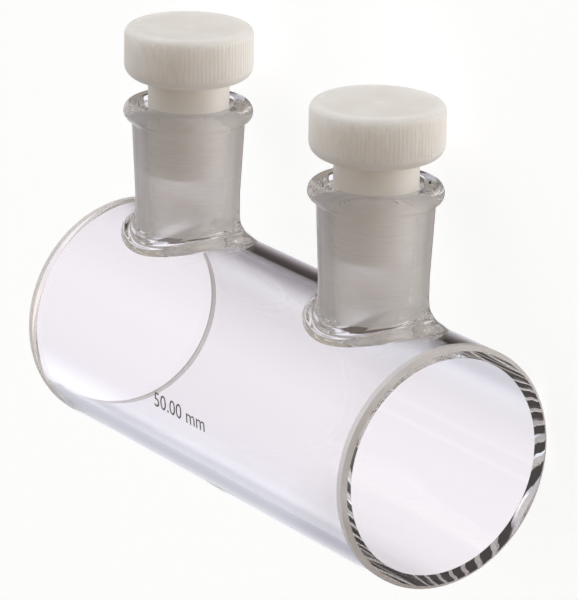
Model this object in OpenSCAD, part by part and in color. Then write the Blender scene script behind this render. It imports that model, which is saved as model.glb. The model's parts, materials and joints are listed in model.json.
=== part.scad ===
// Cylindrical cell with two stoppered necks, lying as it comes to rest.
// Millimetres. X runs along the tube, with the front window at +X. The necks point
// towards +Y and dip until the stopper rims touch the surface at Z = 0.

/* [Tube] */
// Optical path, between the inner faces of the two windows
path_length = 50; // [46:1:100]
// Outside diameter of the tube
tube_od = 22; // [18:0.5:30]
// Wall of the tube
tube_wall = 1.2; // [0.8:0.1:2]
// Thickness of each polished window
window_thickness = 1; // [0.8:0.05:2.5]
// Bevel ground on the outer edge of each window
window_bevel = 0.4; // [0.1:0.05:0.6]

/* [Necks] */
// Distance between the axes of the two necks
neck_spacing = 29.8; // [20:0.2:32]
// Shift of both necks along the tube, away from the front window
neck_shift = 0.5; // [0:0.1:1]
// Length of each neck, from the top of the tube to its mouth
neck_length = 11.9; // [8:0.1:25]
// Wall of each neck round its ground socket
neck_wall = 1.6; // [0.8:0.05:2.4]
// How far the rounded bead at each mouth stands proud of the neck
bead_proud = 0.65; // [0.3:0.05:1.2]
// Height of the bead
bead_height = 1.74; // [1.2:0.02:2.4]
// Radius of the rounding on the inner edge of each mouth
mouth_round = 0.8; // [0.3:0.05:1]
// Radius of the flare that runs each neck out into the tube
root_flare = 2; // [1:0.1:3]

/* [Ground joint] */
// Diameter of the ground socket at its wide end
socket_d = 7.54; // [6.2:0.02:8]
// Growth of the socket's diameter for each millimetre of its length
taper = 0.1; // [0.05:0.01:0.12]
// Gap between plug and socket, on the radius
plug_clearance = 0.02; // [0.01:0.005:0.05]
// Length of plug below the wide end of the socket
plug_depth = 5.9; // [4:0.1:9]
// Chamfer on the end of the plug
plug_chamfer = 0.4; // [0.1:0.05:0.8]

/* [Stopper caps] */
// Diameter of each cap
cap_d = 12; // [11.4:0.1:16]
// Height of each cap
cap_height = 5.2; // [4.4:0.1:8]
// Space between the mouth and the underside of its cap
cap_gap = 2.35; // [1:0.05:4]
// Radius of the cap's upper edge
cap_top_round = 1.65; // [0.8:0.05:2]
// Radius of the cap's lower edge
cap_bottom_round = 1.3; // [0.5:0.05:1.8]
// Number of fine grip grooves round the cap
grip_count = 96; // [48:4:120]
// Depth of each grip groove
grip_depth = 0.08; // [0.03:0.01:0.12]
// Depth of the shallow dish in the cap's top
dish_depth = 0.12; // [0.05:0.01:0.3]
// Diameter of the small pip in the middle of the dish
pip_d = 1.1; // [0.6:0.1:2]

/* [Hidden] */
glass = [0.93, 0.92, 0.95, 0.35];
window_glass = [0.86, 0.86, 0.9, 0.35];
milky = [0.84, 0.83, 0.79];
round_fn = 96;
grip_fn = 24;
cut_over = 1;          // how far a cutting solid runs past what it cuts

tube_r = tube_od / 2;
bore_r = tube_r - tube_wall;
half_path = path_length / 2;
front_neck_x = neck_spacing / 2 - neck_shift;
rear_neck_x = -neck_spacing / 2 - neck_shift;

bead_round = bead_height / 2;
mouth_z = tube_r + neck_length;
bead_z = mouth_z - bead_round;             // middle of the bead
straight_top_z = tube_r + root_flare;      // the neck is straight up to the flare's top
gauge_z = mouth_z - mouth_round;           // wide end of the ground taper
neck_r = socket_r(straight_top_z) + neck_wall;
neck_top_r = socket_r(bead_z) + neck_wall;
bead_r = neck_top_r + bead_proud;

cap_r = cap_d / 2;
cap_z = mouth_z + cap_gap;
cap_top_z = cap_z + cap_height;
plug_end_z = gauge_z - plug_depth;
shank_r = socket_d / 2 - plug_clearance;
dish_r = cap_r - cap_top_round;
pip_height = 0.8 * dish_depth;
grip_w = 0.85 * PI * cap_d / grip_count;   // the grooves take this much of the cap's girth
grip_r = (pow(grip_w / 2, 2) + pow(grip_depth, 2)) / (2 * grip_depth);

flare_steps = 72;      // stations round a neck
flare_arc_steps = 7;   // steps from the neck down to the tube
flare_sink = 0.03;     // how far the flare's edges run into the glass
flare_root = 0.5;      // depth of the flare's hidden edges below the surfaces

// At rest the tube and the rounded rims of both caps touch one plane. The centre of the
// rim's rounding then lies one rounding above that plane, which fixes the dip.
rim_y = cap_r - cap_top_round;
rim_z = cap_top_z - cap_top_round;
dip = asin((tube_r - cap_top_round) / norm([rim_y, rim_z])) - atan2(rim_y, rim_z);
reach = rim_y * sin(dip) + rim_z * cos(dip) + cap_top_round;

// Lays the upright cell down, with the middle of its footprint on the origin.
module lying() {
    translate([0, (tube_r - reach) / 2, tube_r])
        rotate([-90 - dip, 0, 0])
            children();
}

module rod_along_x(radius, length) {
    rotate([0, 90, 0])
        cylinder(h = length, r = radius, center = true, $fn = round_fn);
}

// Radius of the ground socket at height z: it narrows downwards from its wide end.
function socket_r(z) = socket_d / 2 - (gauge_z - z) * taper / 2;

// Neck wall outside: straight at the root, then widening with the socket to the bead.
module neck_outside() {
    rotate_extrude($fn = round_fn) {
        polygon([
            [0, 0],
            [neck_r, 0],
            [neck_r, straight_top_z],
            [neck_top_r, bead_z],
            [0, bead_z]
        ]);
        translate([0, mouth_z - bead_height])
            square([bead_r - bead_round, bead_height]);
        translate([bead_r - bead_round, bead_z])
            circle(r = bead_round, $fn = round_fn);
    }
}

// Ground taper down through the tube's wall, and the rounded inner edge of the mouth.
module socket_cut() {
    edge_r = socket_d / 2 + mouth_round;
    cylinder(h = gauge_z, r1 = socket_r(0), r2 = socket_r(gauge_z), $fn = round_fn);
    rotate_extrude($fn = round_fn)
        difference() {
            translate([0, gauge_z - plug_clearance])
                square([edge_r, mouth_round + cut_over]);
            translate([edge_r, gauge_z])
                circle(r = mouth_round, $fn = round_fn);
        }
}

// The flare is the surface that a ball leaves when it rolls round the neck and touches
// both neck and tube. At angle a its centre stands off both by the flare's radius. The
// arc between the two touching directions is one section of the flare, and three
// points inside the glass close the section.
function unit(v) = v / norm(v);
function between(u, v, t) =
    let (angle = acos(u * v))
    (sin((1 - t) * angle) * u + sin(t * angle) * v) / sin(angle);
function flare_section(a) =
    let (
        aside = [cos(a), sin(a)],
        stand_off = neck_r + root_flare,
        centre_y = stand_off * aside.y,
        centre_z = sqrt(pow(tube_r + root_flare, 2) - pow(centre_y, 2)),
        centre = [stand_off * aside.x, centre_y, centre_z],
        to_neck = [-aside.x, -aside.y, 0],
        to_tube = unit([0, -centre_y, -centre_z]),
        ball_r = root_flare + flare_sink,
        inner_r = neck_r - flare_root,
        inner_tube_r = tube_r - flare_root,
        inner_y = inner_r * aside.y,
        inner = [inner_r * aside.x, inner_y, sqrt(pow(inner_tube_r, 2) - pow(inner_y, 2))]
    )
    concat(
        [for (j = [0:flare_arc_steps])
            centre + ball_r * between(to_neck, to_tube, j / flare_arc_steps)],
        [centre + (root_flare + flare_root) * to_tube],
        [inner],
        [centre + (root_flare + flare_root) * to_neck]
    );

module root_flare_ring() {
    count = flare_arc_steps + 4;
    points = [for (i = [0:flare_steps - 1]) each flare_section(i * 360 / flare_steps)];
    corner = function (i, j) (i % flare_steps) * count + j % count;
    faces = [for (i = [0:flare_steps - 1]) for (j = [0:count - 1]) each [
        [corner(i, j), corner(i + 1, j + 1), corner(i, j + 1)],
        [corner(i, j), corner(i + 1, j), corner(i + 1, j + 1)]
    ]];
    polyhedron(points = points, faces = faces, convexity = 6);
}

module window(side) {
    edge_x = half_path + window_thickness;
    rotate([0, 90 * side, 0])
        rotate_extrude($fn = round_fn)
            polygon([
                [0, half_path],
                [tube_r, half_path],
                [tube_r, edge_x - window_bevel],
                [tube_r - window_bevel, edge_x],
                [0, edge_x]
            ]);
}

// Straight grooves that run out into the rounded edges of the cap. A land, not a groove,
// faces the surface that the cell lies on.
module grip_grooves() {
    for (i = [0:grip_count - 1])
        rotate([0, 0, (i + 0.5) * 360 / grip_count])
            translate([cap_r + grip_r - grip_depth, 0, cap_z - cut_over])
                cylinder(h = cap_height + 2 * cut_over, r = grip_r, $fn = grip_fn);
}

// Plug and shank are one turned cone and cylinder under a cap with rounded edges.
module turned_stopper() {
    rotate_extrude($fn = round_fn) {
        polygon([
            [0, plug_end_z],
            [socket_r(plug_end_z) - plug_clearance - plug_chamfer, plug_end_z],
            [socket_r(plug_end_z + plug_chamfer) - plug_clearance, plug_end_z + plug_chamfer],
            [shank_r, gauge_z],
            [shank_r, cap_z + cap_bottom_round],
            [0, cap_z + cap_bottom_round]
        ]);
        difference() {
            union() {
                translate([0, cap_z])
                    square([cap_r - cap_bottom_round, cap_bottom_round]);
                translate([cap_r - cap_bottom_round, cap_z + cap_bottom_round])
                    circle(r = cap_bottom_round, $fn = round_fn);
                translate([0, cap_z + cap_bottom_round])
                    square([cap_r, cap_height - cap_bottom_round - cap_top_round]);
                translate([cap_r - cap_top_round, cap_top_z - cap_top_round])
                    circle(r = cap_top_round, $fn = round_fn);
                translate([0, cap_top_z - cap_top_round])
                    square([cap_r - cap_top_round, cap_top_round]);
            }
            polygon([
                [0, cap_top_z - dish_depth],
                [dish_r - 2 * dish_depth, cap_top_z - dish_depth],
                [dish_r, cap_top_z + dish_depth],
                [0, cap_top_z + dish_depth]
            ]);
        }
        translate([0, cap_top_z - 2 * dish_depth])
            square([pip_d / 2, dish_depth + pip_height]);
    }
}

module stopper() {
    difference() {
        turned_stopper();
        grip_grooves();
    }
}

module cell_body() {
    color(glass) lying() difference() {
        union() {
            rod_along_x(tube_r, path_length);
            for (x = [front_neck_x, rear_neck_x])
                translate([x, 0, 0]) {
                    neck_outside();
                    root_flare_ring();
                }
        }
        rod_along_x(bore_r, path_length + 2 * cut_over);
        for (x = [front_neck_x, rear_neck_x])
            translate([x, 0, 0]) socket_cut();
    }
}

module front_window() {
    color(window_glass) lying() window(1);
}

module rear_window() {
    color(window_glass) lying() window(-1);
}

module front_stopper() {
    color(milky) lying() translate([front_neck_x, 0, 0]) stopper();
}

module rear_stopper() {
    color(milky) lying() translate([rear_neck_x, 0, 0]) stopper();
}

cell_body();
front_window();
rear_window();
front_stopper();
rear_stopper();
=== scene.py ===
"""A fused quartz cell with two ground necks and milky stoppers, lying on a pale table.

Every shape is worked out upright, in the cell's own frame: x along the tube with the
front window at +x, the necks pointing to +z, and y away from the printed side. laid()
then brings it to where the CAD model lies. All lengths are in metres.
"""

import json
import math

import bmesh
import bpy
import numpy as np
from mathutils import Matrix


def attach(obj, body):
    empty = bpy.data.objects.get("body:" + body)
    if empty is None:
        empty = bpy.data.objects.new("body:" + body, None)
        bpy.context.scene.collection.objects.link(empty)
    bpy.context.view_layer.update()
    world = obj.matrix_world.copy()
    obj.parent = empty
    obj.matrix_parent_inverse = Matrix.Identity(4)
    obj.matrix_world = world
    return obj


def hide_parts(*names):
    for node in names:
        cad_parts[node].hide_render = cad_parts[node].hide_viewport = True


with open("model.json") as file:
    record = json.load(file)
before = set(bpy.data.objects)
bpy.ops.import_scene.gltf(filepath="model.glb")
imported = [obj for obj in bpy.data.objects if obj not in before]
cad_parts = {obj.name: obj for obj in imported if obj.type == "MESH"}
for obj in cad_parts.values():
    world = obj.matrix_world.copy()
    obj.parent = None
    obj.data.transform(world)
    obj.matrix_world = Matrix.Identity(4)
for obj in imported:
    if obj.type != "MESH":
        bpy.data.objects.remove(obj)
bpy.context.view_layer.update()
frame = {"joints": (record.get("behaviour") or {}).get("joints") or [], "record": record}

mm = 0.001
mounts = {mount["name"]: mount for mount in frame["record"]["mounts"]}
neck_way = np.array(frame["joints"][0]["axis"], float)
tube_way = np.array(mounts["front_window_face"]["axis"], float)
back_way = np.cross(neck_way, tube_way)
upright_ways = np.array([tube_way, back_way, neck_way])
face_centre = np.array(mounts["front_window_face"]["pos_m"], float)
axis_point = face_centre - tube_way * face_centre[0]

# Tube and windows
face_x = face_centre[0]
tube_r = face_centre[2]
tube_wall = 1.2 * mm
bore_r = tube_r - tube_wall
window_thickness = 1.0 * mm
window_bevel = 0.4 * mm
seam_x = face_x - window_thickness

# Necks
front_neck_x = 14.4 * mm
rear_neck_x = -15.4 * mm
between_necks_x = (front_neck_x + rear_neck_x) / 2
mouth_z = 22.9 * mm
mouth_round = 0.8 * mm
neck_wall = 1.5 * mm
flare_r = 2.0 * mm
flare_tail_r = 3.2 * mm
flare_lip = 0.4 * mm
flare_roll = 0.15 * mm
flare_rolls = 3
lip_place = 4.0        # the higher, the nearer the lip is to the tube
foot_round = 0.5 * mm
bead_round = 0.87 * mm
bead_proud = 0.72 * mm
bead_fillet = 0.35 * mm
bead_wander = 0.04 * mm
socket_top_r = 3.77 * mm
socket_slope = 0.05
ground_end_z = 10.4 * mm
gauge_z = mouth_z - mouth_round
bead_z = mouth_z - bead_round
straight_top_z = tube_r + flare_tail_r

# Stoppers
cap_r = 5.96 * mm
cap_z = 25.25 * mm
cap_height = 4.85 * mm
cap_top_round = 0.85 * mm
cap_bottom_round = 1.3 * mm
grip_count = 96
grip_depth = 0.08 * mm
grip_share = 0.85
dish_depth = 0.06 * mm
pip_r = 0.55 * mm
plug_clearance = 0.02 * mm
plug_depth = 5.9 * mm
plug_chamfer = 0.4 * mm
cap_top_z = cap_z + cap_height
plug_end_z = gauge_z - plug_depth

# Marking on the tube
marking_em = 2.0 * mm
marking_start = -3.7 * mm
marking_length = 8.25 * mm
marking_foot = -1.2 * mm
marking_gap = 0.002 * mm
marking_thickness = 0.012 * mm
marking_strip = 0.16 * mm

# Finishes
quartz_ior = 1.458

# Fineness of the meshes
around_steps = 96      # stations round the tube
seam_steps = 16        # stations along the tube on each side of a neck
out_steps = 48         # steps from a neck's hole to the edge of its half of the tube
out_crowding = 1.25    # above 1, these steps crowd near the hole
hole_even = 0.5        # below 1, turns the stations round a neck towards the tube's length
flare_steps = 32
foot_steps = 12
ground_steps = 16
clear_steps = 4        # steps of the clear stretch below the ground one
collar_steps = 3
grip_steps = 8         # steps round one grip groove


def laid(points):
    """Upright points brought to where the cell lies: x, y and z times the three ways."""
    return points @ upright_ways + axis_point


def socket_r(z):
    """Radius of the ground socket: its wide end's radius less the slope times the depth."""
    return socket_top_r - (gauge_z - z) * socket_slope


def plug_r(z):
    """Radius of the plug: the socket's less the clearance."""
    return socket_r(z) - plug_clearance


neck_r = socket_r(straight_top_z) + neck_wall
foot_r = socket_r(bore_r)
bead_r = socket_r(bead_z) + neck_wall + bead_proud


def placed(name, data):
    """A new object in the scene that holds this mesh, curve or camera."""
    made = bpy.data.objects.new(name, data)
    bpy.context.scene.collection.objects.link(made)
    return made


def mesh_of(name, points, triangles):
    """A mesh with these points and triangles."""
    mesh = bpy.data.meshes.new(name)
    mesh.vertices.add(len(points))
    mesh.vertices.foreach_set("co", points.astype(np.float32).ravel())
    mesh.loops.add(triangles.size)
    mesh.loops.foreach_set("vertex_index", triangles.astype(np.int32).ravel())
    mesh.polygons.add(len(triangles))
    mesh.polygons.foreach_set("loop_start", np.arange(0, triangles.size, 3, dtype=np.int32))
    mesh.update(calc_edges=True)
    return mesh


class Skin:
    """Grids of points that are sewn into one closed mesh along the edges that they share."""

    weld = 1e-8        # points that round to the same multiple of this are one

    def __init__(self):
        self.points = []
        self.triangles = []
        self.normals = []
        self.finishes = []
        self.count = 0

    def add(self, grid, finish=0, flip=False, normals=None):
        """Adds a grid of rows by columns as pairs of triangles, with its columns closed into rings.

        A grid's normals are the cross product of its two directions, unless they are given.
        Where a row shrinks to a pole, the pole gets the mean normal."""
        rows, columns = grid.shape[:2]
        if normals is None:
            across = np.roll(grid, -1, 1) - np.roll(grid, 1, 1)
            normals = np.cross(across, np.gradient(grid, axis=0))
            if flip:
                normals = -normals
            size = np.linalg.norm(normals, axis=-1, keepdims=True)
            pole = size < 1e-6 * size.max()
            normals = np.where(pole, normals.sum((0, 1)) / size.sum(), normals / np.where(pole, 1, size))
        number = self.count + np.arange(rows * columns).reshape(rows, columns)
        number = np.hstack([number, number[:, :1]])
        a, b = number[:-1, :-1], number[:-1, 1:]
        c, d = number[1:, 1:], number[1:, :-1]
        triangles = np.concatenate([
            np.stack([a, b, c], -1).reshape(-1, 3),
            np.stack([a, c, d], -1).reshape(-1, 3),
        ])
        self.triangles.append(triangles[:, ::-1] if flip else triangles)
        self.finishes.append(np.full(len(triangles), finish))
        self.points.append(grid.reshape(-1, 3))
        self.normals.append(normals.reshape(-1, 3))
        self.count += rows * columns

    def piece(self, name, materials):
        """The sewn mesh as a Blender object, where it lies. A finish is a material's number."""
        points = np.concatenate(self.points)
        keys = np.round(points / self.weld).astype(np.int64)
        _, first, same = np.unique(keys, axis=0, return_index=True, return_inverse=True)
        corners = np.concatenate(self.triangles)
        triangles = same.reshape(-1)[corners]
        a, b, c = triangles.T
        kept = (a != b) & (b != c) & (c != a)
        finishes = np.concatenate(self.finishes)[kept]
        normals = (np.concatenate(self.normals) @ upright_ways)[corners[kept]]
        mesh = mesh_of(name, laid(points[first]), triangles[kept])
        for material in materials:
            mesh.materials.append(material)
        mesh.polygons.foreach_set("material_index", finishes.astype(np.int32))
        mesh.polygons.foreach_set("use_smooth", np.ones(len(finishes), bool))
        mesh.normals_split_custom_set(normals.reshape(-1, 3).tolist())
        return placed(name, mesh)


def arc(centre_r, centre_z, radius, start, end, steps):
    """Profile points on a circle: its centre plus the radius times cosine and sine, in degrees."""
    angle = np.radians(np.linspace(start, end, steps + 1))
    return np.stack([centre_r + radius * np.cos(angle), centre_z + radius * np.sin(angle)], -1)


def run(start, end, steps):
    """Profile points on a straight line: 1 - t times its start plus t times its end."""
    t = np.linspace(0, 1, steps + 1)[:, None]
    return (1 - t) * np.array(start) + t * np.array(end)


def down_rows(steps):
    """The parameter t from 0 to 1 down the rows of a grid."""
    return np.linspace(0, 1, steps + 1)[:, None, None]


def ruled(one, other, steps):
    """A ruled surface between two rings: 1 - t times the one plus t times the other."""
    t = down_rows(steps)
    return (1 - t) * one + t * other


def turned(profile, around, x):
    """A profile of radius and height turned about a neck's axis at x: the radius times the
    cosine and sine of the angle around, and the height."""
    r, z = profile[:, :1], profile[:, 1:]
    return np.stack([x + r * np.cos(around), r * np.sin(around), z + 0 * around], -1)


def round_tube():
    """The angles of the stations round the tube, from the cut opposite the necks."""
    return np.linspace(-math.pi, math.pi, around_steps + 1)[:-1]


def tube_ring(x, radius):
    """One ring round the tube at x: the radius times the sine and cosine of each angle."""
    angle = round_tube()
    return np.stack([np.full(around_steps, x), radius * np.sin(angle), radius * np.cos(angle)], -1)


def half_edge(low_x, high_x):
    """The edge of half a tube cut open opposite its necks: x and the angle round the tube.

    It runs up one end, along the cut, down the other end and back along the cut."""
    up = round_tube()
    along = np.linspace(high_x, low_x, seam_steps + 1)[:-1]
    x = np.concatenate([
        np.full(around_steps, high_x), along,
        np.full(around_steps, low_x), low_x + high_x - along])
    angle = np.concatenate([
        up, np.full(seam_steps, math.pi),
        -up, np.full(seam_steps, -math.pi)])
    return x, angle


def stations(neck_x, low_x, high_x):
    """The angle about a neck's axis that belongs to each point of its half tube's edge: the
    arctangent of the way round the tube, times hole_even, over the way along it."""
    x, angle = half_edge(low_x, high_x)
    return np.arctan2(hole_even * tube_r * angle, x - neck_x)


def add_half_tube(skin, radius, rim, low_x, high_x, inside=False):
    """Half a tube from the rim of its neck's hole out to the half's edge.

    On the unrolled tube each line runs straight from the rim to the edge: x and the angle are
    1 - t times the rim's plus t times the edge's, and the radius turns them into a point."""
    rim_angle = np.arctan2(rim[:, 1], rim[:, 2])
    edge_x, edge_angle = half_edge(low_x, high_x)
    t = (np.linspace(0, 1, out_steps + 1) ** out_crowding)[:, None]
    x = (1 - t) * rim[:, 0] + t * edge_x
    angle = (1 - t) * rim_angle + t * edge_angle
    out = np.stack([0 * x, np.sin(angle), np.cos(angle)], -1)
    grid = radius * out
    grid[..., 0] = x
    skin.add(grid, flip=not inside, normals=-out if inside else out)


def unevenness(around):
    """How hand-worked glass wanders round a neck: three slow waves of 3, 7 and 12 to the turn."""
    return 0.5 * np.sin(3 * around + 1) + 0.3 * np.sin(7 * around + 4) + 0.2 * np.sin(12 * around)


def rolled(neck_x, around, around_r, on_r, ball_r, steps, swelling=0.0):
    """The saddle that a ball leaves when it rolls round an upright cylinder of radius
    around_r on a lying one of radius on_r.

    The ball's centre stands off both by its radius, which may change on the way round. Each
    section is the arc between the two directions in which the ball touches them, from t = 0
    at the upright cylinder to t = 1 at the lying one, and stands out of it by swelling."""
    stand_off = around_r + ball_r
    centre_y = stand_off * np.sin(around)
    centre_z = np.sqrt((on_r + ball_r) ** 2 - centre_y ** 2)
    centre = np.stack([stand_off * np.cos(around), centre_y, centre_z], -1)
    to_neck = np.stack([-np.cos(around), -np.sin(around), 0 * around], -1)
    to_tube = -centre * [0, 1, 1] / np.reshape(on_r + ball_r, (-1, 1))
    angle = np.arccos(np.sum(to_neck * to_tube, -1))[:, None]
    t = down_rows(steps)
    way = (np.sin((1 - t) * angle) * to_neck + np.sin(t * angle) * to_tube) / np.sin(angle)
    from_centre = np.reshape(ball_r, (-1, 1)) - swelling
    return centre + from_centre * way + [neck_x, 0, 0]


def root_flare(neck_x, around):
    """The blown glass at a neck's root: longest towards the front window, where the tail is 1.

    Away from the tail it swells into a lip at the tube, the sine of half a turn times t to
    lip_place, and fine rolls run round it, which are highest on the far side."""
    tail = ((1 + np.cos(around)) / 2)[:, None] ** 1.5
    head = ((1 - np.cos(around)) / 2)[:, None] ** 2
    uneven = unevenness(around)[:, None]
    t = down_rows(flare_steps)
    lip = flare_lip * (1 - tail) * (1 + 0.25 * uneven)
    roll = flare_roll * (0.35 + 0.65 * head) * (1 + uneven)
    waves = np.sin(2 * math.pi * flare_rolls * t)
    swelling = lip * np.sin(math.pi * t ** lip_place) + roll * waves
    ball_r = flare_r + (flare_tail_r - flare_r) * tail[:, 0] ** 2
    return rolled(neck_x, around, neck_r, tube_r, ball_r, flare_steps, swelling)


def neck_outside(neck_x, around, root):
    """The neck above its flare: a turned profile of a straight line up to the bead, a small
    hollow, the bead's arc and the rounded mouth. The bead wanders in and out by unevenness."""
    line_r = socket_r(bead_z - bead_round) + neck_wall
    bead_centre_r = bead_r - bead_round
    hollow_r = line_r + bead_fillet
    drop = math.sqrt((bead_round + bead_fillet) ** 2 - (hollow_r - bead_centre_r) ** 2)
    hollow_z = bead_z - drop
    meet = math.degrees(math.atan2(drop, bead_centre_r - hollow_r))
    profile = np.concatenate([
        run((neck_r, straight_top_z), (line_r, hollow_z), 12),
        arc(hollow_r, hollow_z, bead_fillet, 180, meet, 6)[1:],
        arc(bead_centre_r, bead_z, bead_round, meet - 180, 90, 24)[1:],
        run((bead_centre_r, mouth_z), (socket_top_r + mouth_round, mouth_z), 2)[1:],
        arc(socket_top_r + mouth_round, gauge_z, mouth_round, 90, 180, 8)[1:],
    ])
    grid = turned(profile, around, neck_x)
    swell = np.clip((profile[:, :1] - line_r) / (bead_r - line_r), 0, 1)
    wander = bead_wander * swell * unevenness(around)
    grid[..., 0] += wander * np.cos(around)
    grid[..., 1] += wander * np.sin(around)
    return np.concatenate([ruled(root, grid[:1], collar_steps), grid[1:]])


def add_window(skin, side):
    """A polished disc with a ground rim and a bevel, fused to the tube's end: rings round the
    tube's axis, which shrink to a pole in the middle of each face."""
    inner = [tube_ring(side * seam_x, bore_r * (1 - t)) for t in (0, 0.5, 1)]
    skin.add(np.array(inner), flip=side < 0)
    rim_end = face_x - window_bevel
    rim = [tube_ring(side * x, tube_r) for x in (seam_x, (seam_x + rim_end) / 2, rim_end)]
    skin.add(np.array(rim), finish=1, flip=side > 0)
    bevel = [tube_ring(side * rim_end, tube_r), tube_ring(side * face_x, tube_r - window_bevel)]
    skin.add(np.array(bevel), finish=1, flip=side > 0)
    face = [tube_ring(side * face_x, (tube_r - window_bevel) * (1 - t)) for t in (0, 0.5, 1)]
    skin.add(np.array(face), flip=side > 0)


def fused_cell():
    """Tube, necks and windows as one closed skin, because they are fused into one glass."""
    skin = Skin()
    halves = [(front_neck_x, between_necks_x, seam_x), (rear_neck_x, -seam_x, between_necks_x)]
    for neck_x, low_x, high_x in halves:
        around = stations(neck_x, low_x, high_x)
        saddle = root_flare(neck_x, around)
        foot = rolled(neck_x, around, foot_r, bore_r, foot_round, foot_steps)
        ground_top = turned(np.array([[socket_top_r, gauge_z]]), around, neck_x)
        ground_end = turned(np.array([[socket_r(ground_end_z), ground_end_z]]), around, neck_x)
        add_half_tube(skin, tube_r, saddle[-1], low_x, high_x)
        skin.add(saddle, flip=True)
        skin.add(neck_outside(neck_x, around, saddle[0]))
        skin.add(ruled(ground_top, ground_end, ground_steps), finish=2)
        skin.add(ruled(ground_end, foot[0], clear_steps))
        skin.add(foot)
        add_half_tube(skin, bore_r, foot[-1], low_x, high_x, inside=True)
    for side in (1, -1):
        add_window(skin, side)
    return skin


def stopper(neck_x):
    """A turned plug, shank and cap. The cap's radius is the smaller of the turned profile's
    and a fluted wall's. A flute's depth is 1 less the square of the way off its middle, which
    is taken over its share of the pitch, and 0 on the narrow lands between."""
    around = np.linspace(0, 2 * math.pi, grip_count * grip_steps + 1)[:-1]
    shank_r = socket_top_r - plug_clearance
    dish_r = cap_r - cap_top_round
    dish_z = cap_top_z - dish_depth
    chamfer_z = plug_end_z + plug_chamfer
    end_r = plug_r(plug_end_z) - plug_chamfer
    cap_profile = np.concatenate([
        run((shank_r, cap_z), (cap_r - cap_bottom_round, cap_z), 3),
        arc(cap_r - cap_bottom_round, cap_z + cap_bottom_round, cap_bottom_round, -90, 0, 12)[1:],
        run((cap_r, cap_z + cap_bottom_round), (cap_r, cap_top_z - cap_top_round), 6)[1:],
        arc(dish_r, cap_top_z - cap_top_round, cap_top_round, 0, 90, 14)[1:],
        arc(dish_r, cap_top_z - dish_depth / 2, dish_depth / 2, 90, 180, 3)[1:],
        run((dish_r - dish_depth, dish_z), (pip_r, dish_z), 6),
        arc(pip_r - dish_depth, dish_z, dish_depth, 0, 90, 4)[1:],
        run((pip_r - dish_depth, cap_top_z), (0, cap_top_z), 2)[1:],
    ])
    profiles = [
        run((0, plug_end_z), (end_r, plug_end_z), 4),
        run((end_r, plug_end_z), (plug_r(chamfer_z), chamfer_z), 2),
        run((plug_r(chamfer_z), chamfer_z), (shank_r, gauge_z), 8),
        run((shank_r, gauge_z), (shank_r, cap_z), 6),
        cap_profile,
    ]
    part = (around * grip_count / (2 * math.pi)) % 1 * 2 - 1
    flute = np.clip(1 - ((np.abs(part) - 1) / grip_share) ** 2, 0, 1)
    wall = cap_r - grip_depth * flute
    skin = Skin()
    for profile in profiles:
        grid = turned(profile, around, 0)
        scale = np.minimum(profile[:, :1], wall) / np.maximum(profile[:, :1], 1e-9)
        grid[..., :2] *= scale[..., None]
        grid[..., 0] += neck_x
        skin.add(grid)
    return skin


def flat_letters():
    """The path length in flat letters, cut into narrow strips so that they can be rolled."""
    data = bpy.data.curves.new("path_length_marking", "FONT")
    data.body = "50.00 mm"
    data.size = marking_em
    data.resolution_u = 4
    data.extrude = marking_thickness / 2
    letters = placed("letters", data)
    bpy.context.view_layer.update()
    mesh = bpy.data.meshes.new_from_object(letters)
    bpy.data.objects.remove(letters)
    bm = bmesh.new()
    bm.from_mesh(mesh)
    bmesh.ops.remove_doubles(bm, verts=bm.verts[:], dist=1e-7)
    for height in np.arange(-0.2 * marking_em, marking_em, marking_strip):
        geometry = bm.verts[:] + bm.edges[:] + bm.faces[:]
        bmesh.ops.bisect_plane(bm, geom=geometry, dist=1e-8, plane_co=(0, height, 0), plane_no=(0, 1, 0))
    bmesh.ops.triangulate(bm, faces=bm.faces[:])
    bm.to_mesh(mesh)
    bm.free()
    return mesh


def path_length_marking():
    """The path length printed on the tube. The letters are flat first: x along the tube and
    y round it. Rolling turns y into the angle y / tube_r, and the letters' thickness stands
    out from the tube."""
    mesh = flat_letters()
    flat = np.empty(len(mesh.vertices) * 3)
    mesh.vertices.foreach_get("co", flat)
    x, y, z = flat.reshape(-1, 3).T
    x = marking_start + (x - x.min()) * marking_length / np.ptp(x)
    angle = (marking_foot + y) / tube_r
    radius = tube_r + marking_gap + marking_thickness / 2 + z
    points = np.stack([x, -radius * np.cos(angle), radius * np.sin(angle)], -1)
    mesh.vertices.foreach_set("co", laid(points).astype(np.float32).ravel())
    mesh.update()
    mesh.materials.append(marking_ink())
    return placed("path_length_marking", mesh)


class Wire:
    """A value inside a shader. Arithmetic on it adds Math nodes."""

    def __init__(self, sheet, socket):
        self.sheet = sheet
        self.socket = socket

    def math(self, operation, *others):
        """A Math node that takes this value first, then the others."""
        return self.sheet.node("Math", {"operation": operation}, dict(enumerate((self,) + others)))

    def __add__(self, other):
        return self.math("ADD", other)

    def __sub__(self, other):
        return self.math("SUBTRACT", other)

    def __rsub__(self, other):
        return self * -1 + other

    def __mul__(self, other):
        return self.math("MULTIPLY", other)

    __radd__ = __add__
    __rmul__ = __mul__


class Sheet:
    """The nodes of one material, or of the world."""

    def __init__(self, owner):
        owner.use_nodes = True
        self.tree = owner.node_tree
        self.tree.nodes.clear()

    def node(self, kind, settings=None, values=None, output=0):
        """Adds one node: first its settings, then the values or links of its sockets."""
        made = self.tree.nodes.new("ShaderNode" + kind)
        settings = dict(settings or {})
        stops = settings.pop("stops", None)
        for name, value in settings.items():
            setattr(made, name, value)
        if stops:
            ramp = made.color_ramp.elements
            while len(ramp) < len(stops):
                ramp.new(1.0)
            for element, (place, colour) in zip(ramp, stops):
                element.position = place
                element.color = colour
        for name, value in (values or {}).items():
            if isinstance(value, Wire):
                self.tree.links.new(value.socket, made.inputs[name])
            else:
                made.inputs[name].default_value = value
        return Wire(self, made.outputs[output]) if made.outputs else None


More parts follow.
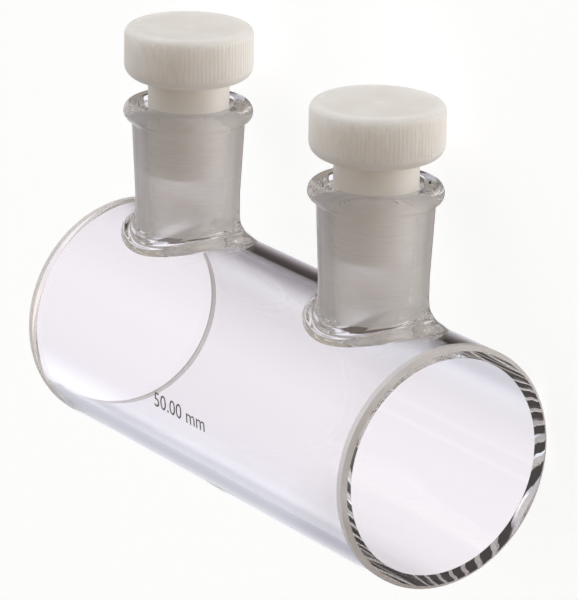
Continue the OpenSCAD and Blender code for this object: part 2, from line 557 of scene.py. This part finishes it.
def step(sheet, value, start, end):
    """Rises smoothly from 0 at start to 1 at end."""
    return sheet.node("MapRange", {"interpolation_type": "SMOOTHSTEP"}, {
        "Value": value, "From Min": start, "From Max": end})


def blend(sheet, amount, one, other):
    """One colour turned into another as amount goes from 0 to 1."""
    return sheet.node("Mix", {"data_type": "RGBA"}, {0: amount, 6: one, 7: other}, output=2)


def material(name):
    """A new material and its empty sheet of nodes."""
    made = bpy.data.materials.new(name)
    return made, Sheet(made)


def glass_output(sheet, glass, shadow):
    """Glass that lets most of the light through to what lies behind it, so that its shadow
    is light. shadow is the share that it lets through."""
    shadow_ray = sheet.node("LightPath", output="Is Shadow Ray")
    clear = sheet.node("BsdfTransparent", values={"Color": (shadow, shadow, shadow, 1)})
    mixed = sheet.node("MixShader", values={0: shadow_ray, 1: glass, 2: clear})
    sheet.node("OutputMaterial", values={"Surface": mixed})


def clear_quartz():
    """Clear glass with the faint long waves that drawing leaves along the tube. They fade
    out before the polished windows."""
    made, sheet = material("clear_quartz")
    place = sheet.node("TexCoord", output="Object")
    from_middle = sheet.node("SeparateXYZ", values={0: place}).math("ABSOLUTE")
    tube_only = 1 - step(sheet, from_middle, seam_x - 3 * mm, seam_x - 1 * mm)
    drawn = sheet.node("Mapping", values={"Vector": place, "Scale": (30.0, 300.0, 300.0)})
    waves = sheet.node("TexNoise", values={"Vector": drawn, "Scale": 1.0, "Detail": 1.0})
    wavy = sheet.node("Bump", values={
        "Strength": 0.5, "Distance": 0.008 * mm, "Height": waves * tube_only})
    glass = sheet.node("BsdfPrincipled", values={
        "Base Color": (1.0, 0.988, 1.0, 1), "Roughness": 0.0, "IOR": quartz_ior,
        "Transmission Weight": 1.0, "Normal": wavy})
    glass_output(sheet, glass, shadow=0.96)
    return made


def ground_rim_quartz():
    """The windows' ground rims: frosted, with a fine grain and slightly warmer patches."""
    made, sheet = material("ground_rim_quartz")
    place = sheet.node("TexCoord", output="Object")
    grain = sheet.node("TexNoise", values={
        "Vector": place, "Scale": 4000.0, "Detail": 3.0, "Roughness": 0.6})
    patches = sheet.node("TexNoise", values={"Vector": place, "Scale": 500.0, "Detail": 2.0})
    shade = blend(sheet, patches, (0.93, 0.89, 0.87, 1), (1.0, 0.98, 0.965, 1))
    rough = sheet.node("Bump", values={"Strength": 0.2, "Distance": 0.03 * mm, "Height": grain})
    glass = sheet.node("BsdfPrincipled", {"distribution": "GGX"}, {
        "Base Color": shade, "Roughness": 0.4, "IOR": quartz_ior,
        "Transmission Weight": 0.6, "Normal": rough})
    glass_output(sheet, glass, shadow=0.8)
    return made


def ground_socket_quartz():
    """Frosted glass with fine rings from the grinding cone, in the colour and in the bump."""
    made, sheet = material("ground_socket_quartz")
    place = sheet.node("TexCoord", output="Object")
    up_neck = sheet.node("VectorMath", {"operation": "DOT_PRODUCT"}, {0: place, 1: tuple(neck_way)},
                         output="Value")
    stretched = sheet.node("VectorMath", {"operation": "SCALE"}, {0: place, "Scale": 500.0})
    rings = sheet.node("TexNoise", {"noise_dimensions": "4D"}, {
        "Vector": stretched, "W": up_neck * 11000.0, "Scale": 1.0, "Detail": 3.0, "Roughness": 0.7})
    shade = blend(sheet, step(sheet, rings, 0.3, 0.7), (0.88, 0.85, 0.84, 1), (1.0, 0.99, 0.99, 1))
    scored = sheet.node("Bump", values={"Strength": 0.4, "Distance": 0.04 * mm, "Height": rings})
    glass = sheet.node("BsdfPrincipled", {"distribution": "GGX"}, {
        "Base Color": shade, "Roughness": 0.45, "IOR": quartz_ior,
        "Transmission Weight": 0.6, "Normal": scored})
    glass_output(sheet, glass, shadow=0.92)
    return made


def milky_stopper_plastic():
    """Translucent moulded plastic: faint clouds in its colour and a fine orange peel."""
    made, sheet = material("milky_stopper_plastic")
    place = sheet.node("TexCoord", output="Object")
    clouds = sheet.node("TexNoise", values={"Vector": place, "Scale": 300.0, "Detail": 3.0})
    peel = sheet.node("TexNoise", values={"Vector": place, "Scale": 3000.0, "Detail": 2.0})
    shade = blend(sheet, step(sheet, clouds, 0.3, 0.7), (0.84, 0.81, 0.76, 1), (0.88, 0.86, 0.82, 1))
    dimpled = sheet.node("Bump", values={"Strength": 0.25, "Distance": 0.03 * mm, "Height": peel})
    plastic = sheet.node("BsdfPrincipled", values={
        "Base Color": shade, "Roughness": 0.42, "IOR": 1.45, "Normal": dimpled,
        "Subsurface Weight": 1.0, "Subsurface Scale": 4 * mm,
        "Subsurface Radius": (1.0, 0.97, 0.94)})
    sheet.node("OutputMaterial", values={"Surface": plastic})
    return made


def marking_ink():
    """Thin dark grey print, slightly uneven."""
    made, sheet = material("marking_ink")
    place = sheet.node("TexCoord", output="Object")
    cover = sheet.node("TexNoise", values={"Vector": place, "Scale": 5000.0, "Detail": 2.0})
    shade = blend(sheet, step(sheet, cover, 0.35, 0.65), (0.28, 0.26, 0.26, 1), (0.19, 0.175, 0.175, 1))
    ink = sheet.node("BsdfPrincipled", values={"Base Color": shade, "Roughness": 0.6})
    sheet.node("OutputMaterial", values={"Surface": ink})
    return made


def pale_table():
    """A matt pale table that shows as white and keeps a light shadow near the cell."""
    made, sheet = material("pale_table")
    matt = sheet.node("BsdfDiffuse", values={"Color": (0.4, 0.4, 0.4, 1)})
    white = sheet.node("Emission", values={"Color": (0.99, 1, 1, 1), "Strength": 0.8})
    both = sheet.node("AddShader", values={0: matt, 1: white})
    sheet.node("OutputMaterial", values={"Surface": both})
    return made


# The studio. A way is a direction out from the cell, in the lying frame.
table_way = (0.57, -0.14, -0.81)             # the bright stretch of table before the cell
lamp_way = (-0.35, 0.9, 0.1)                 # the card that stands for the lamp
mirrored_way = (0.76, -0.43, -0.48)          # the card that the front window mirrors
backdrop_ways = ((-0.64, 0.64, -0.42), (0.68, -0.68, -0.26), (-1, 0, -0.05), (0, 1, -0.05))

# A ring of cards and flags stands round the way in which the tube's rear end points. The lean
# is the angle away from that way, in degrees. The cards stand at the smaller leans and show in
# the tube's wall. The flags stand at the larger ones and show in the tube's end, where it is
# seen through the front window.
ring_inside = (22, 26)                       # leans over which the ring fades in
cards_to_flags = (39.6, 40.6)                # leans over which the flags take over
ring_outside = (44, 46)                      # leans over which the ring fades out
surround_outside = (54, 58)                  # the same for the dark surround that it stands in

# Stops round the ring: a turn about the tube in degrees, and the red, green and blue there.
# Most follow a fit of the surroundings by another program, and were then changed by hand. The
# flags are bright where the cards are, and black with a few pale strips elsewhere.
dark_edge = (0.05, 0.04, 0.037)
black = (0.012, 0.008, 0.006)
first_strip = (0.48, 0.44, 0.42)
second_strip = (0.50, 0.46, 0.44)
dim_strip = (0.20, 0.17, 0.17)
ring_cards = [
    (-180, dark_edge), (-166, (0.10, 0.08, 0.08)), (-154, (0.38, 0.36, 0.38)),
    (-147, (0.82, 0.81, 0.86)), (-141, (0.96, 0.93, 0.97)), (-134, (1.03, 1.00, 1.05)),
    (-122, (1.08, 1.08, 1.15)), (-116, (0.56, 0.57, 0.62)), (-90, (0.58, 0.59, 0.65)),
    (-78, (0.95, 0.98, 1.06)), (-62, (1.05, 1.06, 1.15)), (-48, (0.60, 0.62, 0.68)),
    (-36, (0.25, 0.23, 0.24)), (-20, (0.12, 0.10, 0.10)), (30, (0.20, 0.17, 0.18)),
    (44, (0.38, 0.34, 0.34)), (60, (0.36, 0.32, 0.32)), (75, (0.25, 0.23, 0.23)),
    (95, (0.25, 0.23, 0.23)), (108, (0.42, 0.40, 0.41)), (144, (0.50, 0.46, 0.48)),
    (158, (0.08, 0.06, 0.055))]
ring_flags = [
    (-180, dark_edge), (-166, (0.16, 0.13, 0.12)), (-154, (0.55, 0.55, 0.59)),
    (-147, (0.74, 0.76, 0.81)), (-141, (0.95, 0.93, 0.96)), (-134, (1.02, 0.99, 1.02)),
    (-122, (1.02, 1.0, 1.04)), (-116, (0.51, 0.51, 0.56)), (-90, (0.45, 0.45, 0.51)),
    (-78, (0.83, 0.85, 0.94)), (-64, (0.83, 0.85, 0.94)), (-48, (0.30, 0.30, 0.30)),
    (-36, (0.05, 0.04, 0.035)), (-6, black), (-4, first_strip), (-2, first_strip), (0, black),
    (13, black), (15, second_strip), (17, second_strip), (19, black),
    (82, black), (86, dim_strip), (90, dim_strip), (94, black), (160, black)]


def turning(sheet, turn, stops):
    """A colour that changes with the turn round the tube, from -180 to 180 degrees. The first
    stop, at -180, closes the circle."""
    circle = stops + [(180, stops[0][1])]
    ramp = [((degrees + 180) / 360, colour + (1,)) for degrees, colour in circle]
    return sheet.node("ValToRGB", {"stops": ramp}, {0: turn})


def card(sheet, way, place, inner, outer, shown, colour):
    """A round card in the direction of place: full to the inner angle, gone at the outer."""
    place = np.array(place) / np.linalg.norm(place)
    nearness = sheet.node("VectorMath", {"operation": "DOT_PRODUCT"}, {0: way, 1: place.tolist()},
                          output="Value")
    edges = (math.cos(math.radians(angle)) for angle in (outer, inner))
    return blend(sheet, step(sheet, nearness, *edges), shown, colour)


def seen_through_glass(sheet, way):
    """What clear glass shows and mirrors: the table's bright stretch in a warm room, white
    backdrops, the ring of cards and flags in its dark surround, and one mirrored card."""
    along, across, height = (
        sheet.node("SeparateXYZ", values={0: way}, output=name) for name in "XYZ")
    turn = across.math("ARCTAN2", height) * (0.5 / math.pi) + 0.5
    lean = (along * -1).math("ARCCOSINE") * math.degrees(1)
    room, surround = (0.40, 0.365, 0.32, 1), (0.12, 0.10, 0.085, 1)
    shown = card(sheet, way, table_way, 20, 40, room, (1.05, 1.0, 0.94, 1))
    shown = blend(sheet, step(sheet, lean, *surround_outside), surround, shown)
    for place in backdrop_ways:
        shown = card(sheet, way, place, 13, 22, shown, (1, 0.97, 0.985, 1))
    cards, flags = (turning(sheet, turn, stops) for stops in (ring_cards, ring_flags))
    ring = blend(sheet, step(sheet, lean, *cards_to_flags), cards, flags)
    on_ring = step(sheet, lean, *ring_inside) * (1 - step(sheet, lean, *ring_outside))
    shown = blend(sheet, on_ring, shown, ring)
    return card(sheet, way, mirrored_way, 6, 10, shown, (0.92, 0.89, 0.92, 1))


def light_on_surfaces(sheet, way):
    """The light that falls on the plastic and on frosted glass: a surround that is darker on
    one side, the table's bright stretch, and the lamp's card."""
    along, across = (sheet.node("SeparateXYZ", values={0: way}, output=name) for name in "XY")
    around = blend(sheet, step(sheet, across * 0.6 - along * 0.8, -1, 1),
                   (0.15, 0.11, 0.08, 1), (0.71, 0.70, 0.695, 1))
    with_table = card(sheet, way, table_way, 20, 50, around, (1.9, 1.85, 1.82, 1))
    return card(sheet, way, lamp_way, 14, 26, with_table, (2.7, 2.7, 2.7, 1))


def studio_world():
    """The world lights surfaces with one picture and is seen in glass with another. Straight
    to the camera it is plain white, as the table is."""
    world = bpy.data.worlds.new("studio")
    bpy.context.scene.world = world
    sheet = Sheet(world)
    way = sheet.node("TexCoord", output="Generated")
    light = sheet.node("Background", values={"Color": light_on_surfaces(sheet, way), "Strength": 1.0})
    around = sheet.node("Background", values={"Color": seen_through_glass(sheet, way), "Strength": 1.0})
    behind = sheet.node("Background", values={"Color": (0.995, 0.99, 0.975, 1), "Strength": 1.0})
    through, mirrored, straight = (
        sheet.node("LightPath", output=f"Is {kind} Ray") for kind in ("Transmission", "Glossy", "Camera"))
    lit = sheet.node("MixShader", values={0: through + mirrored, 1: light, 2: around})
    mixed = sheet.node("MixShader", values={0: straight, 1: lit, 2: behind})
    sheet.node("OutputWorld", values={"Surface": mixed})


def camera():
    """Long-lens camera. Its place is given round the upright cell, then laid down with it."""
    azimuth, elevation, roll = math.radians(55.38), math.radians(18.28), math.radians(1.08)
    distance, aim_right, aim_up = 386.0 * mm, 0.97 * mm, 7.58 * mm
    back = np.array([math.sin(azimuth) * math.cos(elevation),
                     -math.cos(azimuth) * math.cos(elevation), math.sin(elevation)])
    flat = np.array([math.cos(azimuth), math.sin(azimuth), 0.0])
    tall = np.cross(back, flat)
    right = math.cos(roll) * flat + math.sin(roll) * tall
    up = -math.sin(roll) * flat + math.cos(roll) * tall
    data = bpy.data.cameras.new("camera")
    data.sensor_width = 36.0
    data.lens = 255.0
    data.clip_start = 0.01
    turn = np.eye(4)
    turn[:3, :3] = (np.array([right, up, back]) @ upright_ways).T
    turn[:3, 3] = laid(back * distance + aim_right * right + aim_up * up)
    made = placed("camera", data)
    made.matrix_world = Matrix(turn.tolist())
    bpy.context.scene.camera = made


def table():
    """One large flat sheet that the cell lies on. Only the camera sees it, because the world
    stands for it in the glass and in the light."""
    reach = 3.0
    corners = reach * np.array([[-1, -1, 0], [1, -1, 0], [1, 1, 0], [-1, 1, 0]])
    mesh = mesh_of("table", corners, np.array([[0, 1, 2], [0, 2, 3]]))
    mesh.materials.append(pale_table())
    made = placed("table", mesh)
    made.visible_diffuse = False
    made.visible_glossy = False
    made.visible_transmission = False
    made.visible_shadow = False


bounces = 64           # light passes many walls of glass
bpy.context.scene.view_settings.view_transform = "Standard"
bpy.context.scene.cycles.max_bounces = bounces
bpy.context.scene.cycles.glossy_bounces = bounces
bpy.context.scene.cycles.transmission_bounces = bounces
camera()
table()
studio_world()

cell = fused_cell().piece("fused_cell", [clear_quartz(), ground_rim_quartz(), ground_socket_quartz()])
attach(cell, "cell")
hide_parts("cell_body", "front_window", "rear_window")

marking = path_length_marking()
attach(marking, "cell")

plastic = milky_stopper_plastic()
for name, body, neck_x in (("front_stopper_turned", "front_plug", front_neck_x),
                           ("rear_stopper_turned", "rear_plug", rear_neck_x)):
    made = stopper(neck_x).piece(name, [plastic])
    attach(made, body)
    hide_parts(name.replace("_turned", ""))
